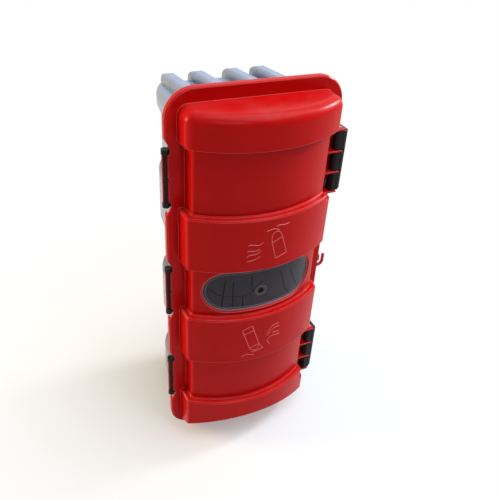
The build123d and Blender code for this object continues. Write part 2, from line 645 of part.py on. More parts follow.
def make_latch_lever(latch_z):
    """Black lever: knuckles on the pin, an outer spine and a hook behind the keeper."""
    x_in = spine_x()
    x_out = x_in + SPINE_THICKNESS
    spans = knuckle_spans(latch_z)
    z_lo, z_hi = spans[0][0], spans[-1][1]
    y_nose = Y_RIM + KEEPER_THICKNESS + HOOK_GAP
    y_tail = y_nose + HOOK_THICKNESS
    body = slab(x_in, x_out, LATCH_PIN_Y - KNUCKLE_R / 2, y_tail + HOOK_TAIL, z_lo, z_hi)
    for lo, hi in spans:
        body += plan_prism(knuckle_outline(x_in + OVERRUN), lo, hi)
    half = KEEPER_HEIGHT / 2 - 2 * END_PLAY
    body += slab(KEEPER_X - HOOK_LAP, x_in + OVERRUN, y_nose, y_tail, latch_z - half,
                 latch_z + half)
    corner = body.edges().filter_by(Axis.Z).sort_by(Axis.X)[-2:]
    body = fillet(corner, SPINE_ROUND)
    return body - upright(LATCH_PIN_X, LATCH_PIN_Y, LATCH_PIN_R + LATCH_RUNNING,
                          z_lo - OVERRUN, z_hi + OVERRUN)


def make_latch_pin(latch_z):
    """Steel pin pressed through the ears."""
    end = LATCH_HALF + EAR_THICKNESS / 2 + PIN_END
    return upright(LATCH_PIN_X, LATCH_PIN_Y, LATCH_PIN_R, latch_z - end, latch_z + end)


def make_latch_keeper(latch_z):
    """Keeper on the rim's right edge: a tab for the hook and the guide lugs."""
    half = KEEPER_HEIGHT / 2
    y_front = Y_RIM - KEEPER_THICKNESS / 2
    tab = slab(RIM_HALF, KEEPER_X, Y_RIM, Y_RIM + KEEPER_THICKNESS, latch_z - half,
               latch_z + half)
    lugs = guide_slots(latch_z, 0)
    low = min(z_lo for _, _, z_lo, _ in lugs)
    tab += slab(lugs[0][0], lugs[0][1], y_front, Y_RIM, low, latch_z + half)
    tab += slab(RIM_HALF, lugs[0][1], Y_RIM - OVERRUN, Y_RIM + OVERRUN, latch_z - half,
                latch_z + half)
    for x_lo, x_hi, z_lo, z_hi in lugs:
        tab += slab(x_lo, x_hi, Y_FLANGE - GUIDE_RISE, Y_RIM, z_lo, z_hi)
    return tab


def save(shape, name):
    """Write one part as parts/NAME.step."""
    export_step(shape, f"parts/{name}.step")


save(make_tub(), "tub_shell")
door_moulding = make_door()
save(door_moulding, "door_shell")
save(make_seal_hook(door_moulding), "seal_hook")
save(make_pane(), "window_pane")
save(make_rim_seal(), "rim_seal")
for place, z in zip(("upper", "middle", "lower"), HINGE_Z):
    save(make_hinge_bracket(z), f"hinge_bracket_{place}")
for place, z in zip(("upper", "lower"), LATCH_Z):
    save(make_latch_lever(z), f"latch_lever_{place}")
    save(make_latch_pin(z), f"latch_pin_{place}")
    save(make_latch_keeper(z), f"latch_keeper_{place}")
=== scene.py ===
"""Looks of a moulded fire extinguisher cabinet: finishes, relief signs, studio and camera."""
import logging
import math
from dataclasses import dataclass, field
from enum import Enum

import bpy
from mathutils import Matrix, Vector


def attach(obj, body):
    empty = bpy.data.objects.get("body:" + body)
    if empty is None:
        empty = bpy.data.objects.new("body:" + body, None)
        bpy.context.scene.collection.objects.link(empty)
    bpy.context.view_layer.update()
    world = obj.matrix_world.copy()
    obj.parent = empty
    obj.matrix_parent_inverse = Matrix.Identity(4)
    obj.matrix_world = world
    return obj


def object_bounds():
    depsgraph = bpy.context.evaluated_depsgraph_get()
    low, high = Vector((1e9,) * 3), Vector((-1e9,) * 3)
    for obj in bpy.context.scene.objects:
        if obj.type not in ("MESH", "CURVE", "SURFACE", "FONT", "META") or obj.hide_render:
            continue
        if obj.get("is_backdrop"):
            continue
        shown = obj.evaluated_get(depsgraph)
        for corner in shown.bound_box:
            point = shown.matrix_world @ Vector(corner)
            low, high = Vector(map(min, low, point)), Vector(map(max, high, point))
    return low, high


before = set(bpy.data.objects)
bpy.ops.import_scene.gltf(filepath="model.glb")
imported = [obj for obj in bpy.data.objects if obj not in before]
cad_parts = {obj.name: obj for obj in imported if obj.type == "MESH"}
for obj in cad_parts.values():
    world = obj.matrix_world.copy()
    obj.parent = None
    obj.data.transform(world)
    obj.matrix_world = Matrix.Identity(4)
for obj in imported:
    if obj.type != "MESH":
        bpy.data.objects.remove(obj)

LOG = logging.getLogger("cabinet")
Triple = tuple[float, float, float]
Colour = Triple
Point = tuple[float, float]
MILLIMETRE = 0.001
WHITE: Colour = (1.0, 1.0, 1.0)


class Slot(Enum):
    """Material slots of the record."""

    RED = "red_plastic"
    GREY = "grey_plastic"
    BLACK = "black_plastic"
    PANE = "smoked_pane"
    SEAL = "seal_rubber"
    STEEL = "steel"


class Look(Enum):
    """Finishes that a piece can wear."""

    RED = "moulded_red"
    RELIEF = "relief_red"
    GREY = "moulded_grey"
    BLACK = "moulded_black"
    SEAL = "seal_rubber"
    STEEL = "pin_steel"
    PANE = "smoked_acrylic"
    HIGHLIT_BEAD = "smoked_bead"
    PAINTED_BOSS = "smoked_boss"
    SHADE_LINE = "smoked_line"


class SocketKind(Enum):
    """Kinds of socket on a shader node group."""

    NUMBER = "NodeSocketFloat"
    VECTOR = "NodeSocketVector"


def rgba(colour: Colour) -> tuple[float, float, float, float]:
    """A colour with full alpha."""
    return (*colour, 1.0)


class NodeGroup:
    """A shader node group that is built once and placed in several materials."""

    title = "group"
    numbers: tuple[tuple[str, float], ...] = ()
    outputs: tuple[tuple[str, SocketKind], ...] = ()
    noise_roughness = 0.6

    def __init__(self) -> None:
        """Makes the group's tree, its sockets and its inner nodes."""
        self.tree = bpy.data.node_groups.new(self.title, "ShaderNodeTree")
        for name, value in self.numbers:
            socket = self.tree.interface.new_socket(name, in_out="INPUT",
                                                    socket_type=SocketKind.NUMBER.value)
            socket.default_value = value
        for name, kind in self.outputs:
            self.tree.interface.new_socket(name, in_out="OUTPUT", socket_type=kind.value)
        self.entry = self.tree.nodes.new("NodeGroupInput")
        self.exit = self.tree.nodes.new("NodeGroupOutput")
        self.wire()

    def wire(self) -> None:
        """Builds the inner nodes; each group has its own."""

    def node(self, kind: str, **settings: object) -> bpy.types.Node:
        """Adds an inner node.

        Args:
            kind: The node's type name.
            settings: Properties to set on the node.

        Returns:
            The new node.
        """
        made = self.tree.nodes.new(kind)
        for key, value in settings.items():
            setattr(made, key, value)
        return made

    def link(self, source: bpy.types.NodeSocket, target: bpy.types.NodeSocket) -> None:
        """Joins two sockets."""
        self.tree.links.new(source, target)

    def noise(self, scale: float, detail: float, stretch: Triple = (1.0, 1.0, 1.0)) -> bpy.types.Node:
        """Adds a noise that follows the piece's own coordinates.

        Args:
            scale: Cells in a metre.
            detail: Octaves of the noise.
            stretch: Scale along each axis before the noise.

        Returns:
            The noise node.
        """
        place = self.node("ShaderNodeTexCoord")
        mapping = self.node("ShaderNodeMapping")
        mapping.inputs["Scale"].default_value = stretch
        noise = self.node("ShaderNodeTexNoise")
        noise.inputs["Scale"].default_value = scale
        noise.inputs["Detail"].default_value = detail
        noise.inputs["Roughness"].default_value = self.noise_roughness
        self.link(place.outputs["Object"], mapping.inputs["Vector"])
        self.link(mapping.outputs["Vector"], noise.inputs["Vector"])
        return noise

    def spread(self, source: bpy.types.NodeSocket, low: float, high: float) -> bpy.types.NodeSocket:
        """Stretches a value between two limits to the range 0 to 1.

        Args:
            source: The value.
            low: What becomes 0.
            high: What becomes 1.

        Returns:
            The stretched value's socket.
        """
        made = self.node("ShaderNodeMapRange")
        made.inputs["From Min"].default_value = low
        made.inputs["From Max"].default_value = high
        self.link(source, made.inputs["Value"])
        return made.outputs["Result"]

    def combine(self, operation: str, first: bpy.types.NodeSocket,
                second: bpy.types.NodeSocket) -> bpy.types.NodeSocket:
        """Joins two values by a math operation.

        Args:
            operation: The operation's name.
            first: The first value.
            second: The second value.

        Returns:
            The result's socket.
        """
        made = self.node("ShaderNodeMath", operation=operation)
        self.link(first, made.inputs[0])
        self.link(second, made.inputs[1])
        return made.outputs[0]


class MouldGrain(NodeGroup):
    """Fine spark-eroded grain over the slow waves of a large moulding."""

    title = "mould_grain"
    numbers = (("Grain Depth", 0.00002), ("Wave Depth", 0.0001))
    outputs = (("Height", SocketKind.NUMBER), ("Mottle", SocketKind.NUMBER))

    grain_cells, grain_octaves = 1400.0, 3.0
    wave_cells, wave_octaves = 9.0, 1.0
    mottle_cells, mottle_octaves = 34.0, 5.0
    mottle_limits = (0.32, 0.68)

    def wire(self) -> None:
        """Adds a fine grain, slow waves and a mottle of the surface."""
        grain = self.noise(self.grain_cells, self.grain_octaves)
        wave = self.noise(self.wave_cells, self.wave_octaves)
        mottle = self.noise(self.mottle_cells, self.mottle_octaves)
        fine = self.combine("MULTIPLY", grain.outputs["Fac"], self.entry.outputs["Grain Depth"])
        slow = self.combine("MULTIPLY", wave.outputs["Fac"], self.entry.outputs["Wave Depth"])
        self.link(self.combine("ADD", fine, slow), self.exit.inputs["Height"])
        self.link(self.spread(mottle.outputs["Fac"], *self.mottle_limits), self.exit.inputs["Mottle"])


class SoftEdge(NodeGroup):
    """Rounds the sharp edges of a moulding in its shading, and finds those edges, where the finishes paint
    a highlight.
    """

    title = "soft_edge"
    numbers = (("Radius", 0.001),)
    outputs = (("Normal", SocketKind.VECTOR), ("Edge", SocketKind.NUMBER))

    samples = 6
    edge_limits = (0.997, 0.90)

    def wire(self) -> None:
        """Adds a rounding normal and a mask of where it leaves the surface's own."""
        rounding = self.node("ShaderNodeBevel", samples=self.samples)
        surface = self.node("ShaderNodeNewGeometry")
        across = self.node("ShaderNodeVectorMath", operation="DOT_PRODUCT")
        self.link(self.entry.outputs["Radius"], rounding.inputs["Radius"])
        self.link(rounding.outputs["Normal"], across.inputs[0])
        self.link(surface.outputs["Normal"], across.inputs[1])
        self.link(rounding.outputs["Normal"], self.exit.inputs["Normal"])
        self.link(self.spread(across.outputs["Value"], *self.edge_limits), self.exit.inputs["Edge"])


class SettledDust(NodeGroup):
    """Thin dust on the faces that look up, and fine rubs along the height."""

    title = "settled_dust"
    outputs = (("Dust", SocketKind.NUMBER), ("Rubs", SocketKind.NUMBER))

    upward_limits = (0.35, 1.0)
    patch_cells, patch_octaves = 22.0, 6.0
    patch_limits = (0.35, 0.75)
    rub_cells, rub_octaves = 240.0, 2.0
    rub_stretch = (1.0, 1.0, 0.04)
    rub_limits = (0.64, 0.74)

    def wire(self) -> None:
        """Adds a mask of upward faces, broken up, and a mask of thin long rubs."""
        surface = self.node("ShaderNodeNewGeometry")
        parts = self.node("ShaderNodeSeparateXYZ")
        self.link(surface.outputs["Normal"], parts.inputs["Vector"])
        upward = self.spread(parts.outputs["Z"], *self.upward_limits)
        patches = self.noise(self.patch_cells, self.patch_octaves)
        broken = self.spread(patches.outputs["Fac"], *self.patch_limits)
        rubs = self.noise(self.rub_cells, self.rub_octaves, self.rub_stretch)
        self.link(self.combine("MULTIPLY", upward, broken), self.exit.inputs["Dust"])
        self.link(self.spread(rubs.outputs["Fac"], *self.rub_limits), self.exit.inputs["Rubs"])


@dataclass
class EffectShelf:
    """The shared node groups, each built once."""

    grain: MouldGrain = field(default_factory=MouldGrain)
    edge: SoftEdge = field(default_factory=SoftEdge)
    dust: SettledDust = field(default_factory=SettledDust)


class MaterialBench:
    """A new material with its Principled shader, and short ways to add nodes to it."""

    mix_below, mix_above, mix_result = 6, 7, 2

    def __init__(self, name: str) -> None:
        """Starts a material.

        Args:
            name: The material's name.
        """
        self.material = bpy.data.materials.new(name)
        self.material.use_nodes = True
        self.nodes = self.material.node_tree.nodes
        self.links = self.material.node_tree.links
        self.shader = self.nodes["Principled BSDF"]

    def place(self, group: NodeGroup, **values: float) -> bpy.types.Node:
        """Places a shared group in the material.

        Args:
            group: The shared group.
            values: Values of its inputs, with underscores for the spaces.

        Returns:
            The placed group node.
        """
        node = self.nodes.new("ShaderNodeGroup")
        node.node_tree = group.tree
        for key, value in values.items():
            node.inputs[key.replace("_", " ")].default_value = value
        return node

    def tint(self, factor: bpy.types.NodeSocket, share: float, below: bpy.types.NodeSocket | Colour,
             above: Colour) -> bpy.types.NodeSocket:
        """Mixes a colour over another by a mask.

        Args:
            factor: The mask.
            share: How much of the upper colour the full mask gives.
            below: The lower colour, or the socket that gives it.
            above: The upper colour.

        Returns:
            The mixed colour's socket.
        """
        scaled = self.nodes.new("ShaderNodeMath")
        scaled.operation = "MULTIPLY"
        scaled.use_clamp = True
        self.links.new(factor, scaled.inputs[0])
        scaled.inputs[1].default_value = share
        mix = self.nodes.new("ShaderNodeMix")
        mix.data_type = "RGBA"
        self.links.new(scaled.outputs[0], mix.inputs["Factor"])
        if isinstance(below, tuple):
            mix.inputs[self.mix_below].default_value = rgba(below)
        else:
            self.links.new(below, mix.inputs[self.mix_below])
        mix.inputs[self.mix_above].default_value = rgba(above)
        return mix.outputs[self.mix_result]

    def ramp(self, source: bpy.types.NodeSocket, low: float, high: float) -> bpy.types.NodeSocket:
        """Turns a mask into a value between two limits.

        Args:
            source: The mask, 0 to 1.
            low: The value where the mask is 0.
            high: The value where the mask is 1.

        Returns:
            The value's socket.
        """
        made = self.nodes.new("ShaderNodeMapRange")
        self.links.new(source, made.inputs["Value"])
        made.inputs["To Min"].default_value = low
        made.inputs["To Max"].default_value = high
        return made.outputs["Result"]

    def raise_by(self, height: bpy.types.NodeSocket,
                 normal: bpy.types.NodeSocket | None = None) -> None:
        """Gives the shader a bumped normal.

        Args:
            height: The bump's height in metres.
            normal: The normal that the bump starts from, if not the surface's own.
        """
        bump = self.nodes.new("ShaderNodeBump")
        bump.inputs["Strength"].default_value = 1.0
        bump.inputs["Distance"].default_value = 1.0
        self.links.new(height, bump.inputs["Height"])
        if normal is not None:
            self.links.new(normal, bump.inputs["Normal"])
        self.feed(bump.outputs["Normal"], "Normal")

    def set(self, socket: str, value: float) -> None:
        """Sets a constant on the shader's own socket."""
        self.shader.inputs[socket].default_value = value

    def feed(self, source: bpy.types.NodeSocket, socket: str) -> None:
        """Joins a value to one of the shader's sockets."""
        self.links.new(source, self.shader.inputs[socket])


@dataclass(frozen=True)
class MouldedFinish:
    """Injection-moulded plastic or rubber, or drawn steel where metallic is 1."""

    slot: Slot
    colour: Colour
    deep: Colour
    # The edge colour is laid over the found edges as a painted highlight, and over the rubs as wear.
    edge: Colour
    roughness: float
    specular: float = 0.5
    metallic: float = 0.0
    grain_depth: float = 0.00002
    wave_depth: float = 0.00012
    edge_radius: float = 0.0012
    edge_highlight_share: float = 0.25
    dust: Colour = (0.55, 0.53, 0.5)
    dust_share: float = 0.08
    rub_share: float = 0.06
    deep_share: float = 0.5
    smoothest: float = 0.88
    roughest: float = 1.14
    refraction: float = 1.48

    def material(self, name: str, shelf: EffectShelf) -> bpy.types.Material:
        """Builds the finish.

        Args:
            name: The material's name.
            shelf: The shared node groups.

        Returns:
            The material.
        """
        bench = MaterialBench(name)
        grain = bench.place(shelf.grain, Grain_Depth=self.grain_depth, Wave_Depth=self.wave_depth)
        edge = bench.place(shelf.edge, Radius=self.edge_radius)
        dust = bench.place(shelf.dust)
        colour = bench.tint(grain.outputs["Mottle"], self.deep_share, self.colour, self.deep)
        colour = bench.tint(dust.outputs["Rubs"], self.rub_share, colour, self.edge)
        # Painted highlight: the lighter edge colour over the edges that the rounding finds stands in for
        # the gloss lines they catch.
        colour = bench.tint(edge.outputs["Edge"], self.edge_highlight_share, colour, self.edge)
        colour = bench.tint(dust.outputs["Dust"], self.dust_share, colour, self.dust)
        bench.feed(colour, "Base Color")
        rough = bench.ramp(grain.outputs["Mottle"], self.roughness * self.smoothest,
                           self.roughness * self.roughest)
        bench.feed(rough, "Roughness")
        bench.raise_by(grain.outputs["Height"], edge.outputs["Normal"])
        bench.set("Metallic", self.metallic)
        bench.set("Specular IOR Level", self.specular)
        bench.set("IOR", self.refraction)
        return bench.material


@dataclass(frozen=True)
class SmokedFinish:
    """Dark clear plastic of the window, with faint rubs that catch the light."""

    slot: Slot = Slot.PANE
    colour: Colour = (0.056, 0.049, 0.068)
    rubbed: Colour = (0.13, 0.12, 0.145)
    roughness: float = 0.08
    roughest: float = 1.8
    transmission: float = 0.6
    refraction: float = 1.36
    specular: float = 0.08
    wave_depth: float = 0.00004
    rub_share: float = 0.35

    def material(self, name: str, shelf: EffectShelf) -> bpy.types.Material:
        """Builds the finish.

        Args:
            name: The material's name.
            shelf: The shared node groups.

        Returns:
            The material.
        """
        bench = MaterialBench(name)
        grain = bench.place(shelf.grain, Grain_Depth=0.0, Wave_Depth=self.wave_depth)
        dust = bench.place(shelf.dust)
        tinted = bench.tint(dust.outputs["Rubs"], self.rub_share, self.colour, self.rubbed)
        bench.feed(tinted, "Base Color")
        rough = bench.ramp(grain.outputs["Mottle"], self.roughness, self.roughness * self.roughest)
        bench.feed(rough, "Roughness")
        bench.raise_by(grain.outputs["Height"])
        bench.set("Transmission Weight", self.transmission)
        bench.set("Metallic", 0.0)
        bench.set("IOR", self.refraction)
        bench.set("Specular IOR Level", self.specular)
        return bench.material


# Each finish's edge colour is lighter than its body and is laid on its edges as a painted highlight.
FINISHES: dict[Look, MouldedFinish | SmokedFinish] = {
    # Painted highlight: the pale edge colour at a share of 0.55 paints the bright lines along the door's
    # edges and ledges.
    Look.RED: MouldedFinish(
        slot=Slot.RED, colour=(0.46, 0.0030, 0.0026), deep=(0.42, 0.0026, 0.0022),
        edge=(0.92, 0.21, 0.18), roughness=0.24, specular=0.08, grain_depth=0.000004, wave_depth=0.0001,
        edge_radius=0.0014, edge_highlight_share=0.55, rub_share=0.0, dust_share=0.03),
    # Painted highlight: the relief strokes are the door's own red plastic, painted lighter than the door
    # to stand in for the light their raised faces catch.
    Look.RELIEF: MouldedFinish(
        slot=Slot.RED, colour=(0.64, 0.055, 0.045), deep=(0.58, 0.045, 0.035), edge=(0.80, 0.12, 0.10),
        roughness=0.22, grain_depth=0.0, wave_depth=0.0, edge_radius=0.0003, rub_share=0.0,
        dust_share=0.03),
    Look.GREY: MouldedFinish(
        slot=Slot.GREY, colour=(0.190, 0.245, 0.345), deep=(0.155, 0.205, 0.30),
        edge=(0.42, 0.47, 0.56), roughness=0.28, specular=0.45, edge_radius=0.002, dust_share=0.10),
    Look.BLACK: MouldedFinish(
        slot=Slot.BLACK, colour=(0.012, 0.010, 0.011), deep=(0.008, 0.007, 0.008),
        edge=(0.05, 0.045, 0.05), roughness=0.34, specular=0.12, grain_depth=0.000015,
        edge_radius=0.0005),
    Look.SEAL: MouldedFinish(
        slot=Slot.SEAL, colour=(0.022, 0.021, 0.021), deep=(0.015, 0.015, 0.015),
        edge=(0.05, 0.05, 0.05), roughness=0.62, specular=0.35, grain_depth=0.00004, edge_radius=0.001),
    Look.STEEL: MouldedFinish(
        slot=Slot.STEEL, colour=(0.42, 0.42, 0.43), deep=(0.33, 0.33, 0.34), edge=(0.6, 0.6, 0.6),
        roughness=0.32, metallic=1.0, grain_depth=0.000006, wave_depth=0.0, edge_radius=0.0004),
    Look.PANE: SmokedFinish(),
    # Painted highlight: the raised beads round the window are painted a pale pinkish grey that stands in
    # for the light caught by the opening's rim.
    Look.HIGHLIT_BEAD: MouldedFinish(
        slot=Slot.PANE, colour=(0.20, 0.125, 0.15), deep=(0.15, 0.095, 0.12), edge=(0.34, 0.24, 0.27),
        roughness=0.2, grain_depth=0.0, wave_depth=0.0, edge_radius=0.0003, rub_share=0.0),
    # Painted light: rings a little lighter than the pane stand in for the lit rim of the boss behind it.
    Look.PAINTED_BOSS: MouldedFinish(
        slot=Slot.PANE, colour=(0.075, 0.065, 0.078), deep=(0.06, 0.052, 0.062),
        edge=(0.12, 0.10, 0.12), roughness=0.25, grain_depth=0.0, wave_depth=0.0, edge_radius=0.0003,
        rub_share=0.0),
    # Painted shade: near-black lines on the pane's face stand in for the shaded ribs and the boss's hole
    # behind it.
    Look.SHADE_LINE: MouldedFinish(
        slot=Slot.PANE, colour=(0.004, 0.0035, 0.0045), deep=(0.003, 0.003, 0.0035),
        edge=(0.006, 0.006, 0.007), roughness=0.4, specular=0.02, grain_depth=0.0, wave_depth=0.0,
        edge_radius=0.0003, rub_share=0.0),
}


@dataclass
class FinishRack:
    """Builds the finishes and puts them on the frame's nodes and on new pieces."""

    shelf: EffectShelf = field(default_factory=EffectShelf)
    made: dict[Look, bpy.types.Material] = field(default_factory=dict)

    def __post_init__(self) -> None:
        """Builds one material for each look."""
        for look, finish in FINISHES.items():
            self.made[look] = finish.material(look.value, self.shelf)

    def dress(self, piece: bpy.types.Object, look: Look) -> None:
        """Gives a piece one finish in place of those it has.

        Args:
            piece: A node of the frame, or a new piece.
            look: The finish it wears.
        """
        piece.data.materials.clear()
        piece.data.materials.append(self.made[look])
        LOG.info("%s wears %s", piece.name, look.value)

    def dress_nodes(self, look: Look, *names: str) -> None:
        """Dresses nodes of the frame by name."""
        for name in names:
            self.dress(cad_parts[name], look)


def deselect_all() -> None:
    """Clears the selection, so that an operator acts on new work alone."""
    if bpy.context.object and bpy.context.object.mode != "OBJECT":
        bpy.ops.object.mode_set(mode="OBJECT")
    bpy.ops.object.select_all(action="DESELECT")


def settle(piece: bpy.types.Object) -> None:
    """Puts a piece's place into its mesh.

    Args:
        piece: The new piece, which ends at the origin, unturned and unscaled.
    """
    deselect_all()
    piece.select_set(True)
    bpy.context.view_layer.objects.active = piece
    bpy.ops.object.transform_apply(location=True, rotation=True, scale=True)


def hand_over(piece: bpy.types.Object, rack: FinishRack, look: Look, body: str) -> None:
    """Finishes a new piece: its finish and its body.

    Args:
        piece: The new piece, in place.
        rack: The finishes.
        look: The finish it wears.
        body: The frame's body that it moves with.
    """
    rack.dress(piece, look)
    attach(piece, body)
    LOG.info("%s rides on %s with %d faces", piece.name, body, len(piece.data.polygons))


@dataclass(frozen=True)
class BowedFace:
    """An upright bowed face of the door: the depth of its foremost line, and its bow's radius."""

    front: float
    radius: float

    def depth_at(self, x: float) -> float:
        """Depth of the face at a place across the door."""
        return self.front + self.radius - math.sqrt(self.radius**2 - x**2)


BAND_FACE = BowedFace(-0.270, 0.2191)
PANE_FACE = BowedFace(-0.254, 0.201681)


@dataclass(frozen=True)
class FaceLines:
    """Thin raised lines that follow a bowed face of the door, as one mesh: moulded relief, or lines that
    carry painted highlight or painted shade.

    Strokes are in millimetres, across and up the door; all other sizes are in metres.
    """

    name: str
    strokes: tuple[tuple[Point, ...], ...]
    face: BowedFace = BAND_FACE
    look: Look = Look.RELIEF
    line_radius: float = 0.0009
    sunk: float = 0.0001
    closed: bool = False
    body: str = "door"
    order: int = 3
    round_steps: int = 2
    length_steps: int = 5
    merge_distance: float = 0.00001
    smooth_angle: float = math.radians(50.0)

    def build(self, rack: FinishRack) -> bpy.types.Object:
        """Draws the strokes on the face and makes them one mesh.

        Args:
            rack: The finishes.

        Returns:
            The lines.
        """
        deselect_all()
        bpy.ops.curve.primitive_nurbs_path_add(location=(0.0, 0.0, 0.0))
        lines = bpy.context.object
        lines.name = self.name
        lines.data.splines.clear()
        lines.data.bevel_depth = self.line_radius
        lines.data.bevel_resolution = self.round_steps
        lines.data.resolution_u = self.length_steps
        lines.data.use_fill_caps = True
        for stroke in self.strokes:
            self.draw(lines.data, stroke)
        bpy.ops.object.convert(target="MESH")
        lines = bpy.context.object
        bpy.ops.object.mode_set(mode="EDIT")
        bpy.ops.mesh.select_all(action="SELECT")
        bpy.ops.mesh.remove_doubles(threshold=self.merge_distance)
        bpy.ops.mesh.normals_make_consistent(inside=False)
        bpy.ops.object.mode_set(mode="OBJECT")
        bpy.ops.object.shade_smooth_by_angle(angle=self.smooth_angle)
        settle(lines)
        hand_over(lines, rack, self.look, self.body)
        return lines

    def draw(self, curve: bpy.types.Curve, stroke: tuple[Point, ...]) -> None:
        """Adds one stroke to the curve.

        Args:
            curve: The curve that holds the lines.
            stroke: Its points across and up the door, in millimetres.
        """
        spline = curve.splines.new("POLY" if self.closed else "NURBS")
        spline.points.add(len(stroke) - 1)
        for point, (across, up) in zip(spline.points, stroke):
            x = across * MILLIMETRE
            point.co = (x, self.face.depth_at(x) + self.sunk, up * MILLIMETRE, 1.0)
        if self.closed:
            spline.use_cyclic_u = True
        else:
            spline.order_u = min(self.order, len(stroke))
            spline.use_endpoint_u = True


# The two relief signs: flames beside a cylinder, and a tilted cylinder beside flames.
FLAMES_AND_CYLINDER: tuple[tuple[Point, ...], ...] = (
    ((-40.0, 118.7), (-37.8, 120.8), (-30.3, 119.0), (-22.8, 117.8), (-19.4, 119.6), (-14.8, 122.7)),
    ((-40.9, 106.9), (-38.7, 109.0), (-30.9, 107.2), (-24.8, 107.8), (-20.8, 109.9)),
    ((-41.3, 94.9), (-39.9, 100.4), (-32.5, 100.2), (-25.7, 101.1), (-21.1, 104.3), (-18.5, 106.7)),
    ((-40.6, 88.7), (-35.9, 88.5), (-27.1, 90.4), (-21.8, 93.5), (-18.1, 96.1)),
    ((0.5, 118.0), (5.0, 102.0), (9.8, 85.3)),
    ((18.9, 125.8), (23.5, 112.4), (29.8, 92.0)),
    ((0.5, 118.0), (18.9, 125.8)),
    ((9.8, 85.3), (29.8, 92.0)),
    ((0.5, 118.0), (-1.8, 131.0), (4.0, 139.5), (14.5, 138.0), (18.9, 125.8)),
    ((-11.4, 141.5), (-4.6, 144.8), (4.1, 145.2), (12.0, 140.6)),
    ((6.0, 148.6), (12.5, 150.9), (22.0, 147.2), (29.6, 150.1)),
)

CYLINDER_AND_FLAMES: tuple[tuple[Point, ...], ...] = (
    ((-40.5, -63.2), (-22.4, -55.4)),
    ((-38.5, -74.4), (-18.6, -66.6)),
    ((-40.5, -63.2), (-33.0, -84.0), (-24.8, -108.7)),
    ((-22.4, -55.4), (-17.6, -69.8), (-7.4, -101.6)),
    ((-24.8, -108.7), (-7.4, -101.6)),
    ((-24.8, -108.7), (-19.0, -117.0), (-8.0, -116.0), (-7.4, -101.6)),
    ((-7.4, -101.6), (1.9, -115.7)),
    ((-21.5, -118.9), (-15.0, -119.8), (-7.9, -117.9), (1.8, -115.1)),
    ((-39.5, -127.1), (-33.6, -123.6), (-28.3, -122.3), (-21.0, -126.4), (-14.6, -126.7)),
    ((7.6, -88.1), (11.0, -73.3), (18.0, -66.2), (30.2, -65.0)),
    ((10.7, -84.2), (16.3, -75.4), (24.8, -73.0), (32.4, -72.9)),
    ((18.8, -84.0), (25.1, -85.2), (32.8, -85.7)),
    ((8.2, -99.5), (14.4, -92.8), (19.5, -90.9), (24.9, -92.2), (34.0, -92.9)),
    ((8.2, -99.5), (16.2, -112.1)),
)

# Painted shade: dark lines on the pane stand in for the shaded ribs behind it.
RIB_SHADE_LINES: tuple[tuple[Point, ...], ...] = (
    ((-91.7, 22.1), (-80.3, 8.6), (-69.9, 6.3), (-53.2, 3.1), (-35.7, 2.6), (-20.6, 9.5), (-14.5, 17.8),
     (-6.9, 25.5), (-3.1, 29.2)),
    ((-66.3, 39.4), (-68.9, 13.5), (-71.5, -18.9)),
    ((-53.2, 33.3), (-53.2, 3.1), (-53.5, -19.8)),
    ((-35.7, 2.6), (-35.8, -20.4)),
    ((-22.8, 44.7), (-19.9, 9.3)),
    ((32.2, 41.5), (41.2, 17.0), (45.0, -1.1), (56.1, -17.0)),
    ((55.8, 34.6), (61.8, 15.5), (76.6, -9.2)),
)


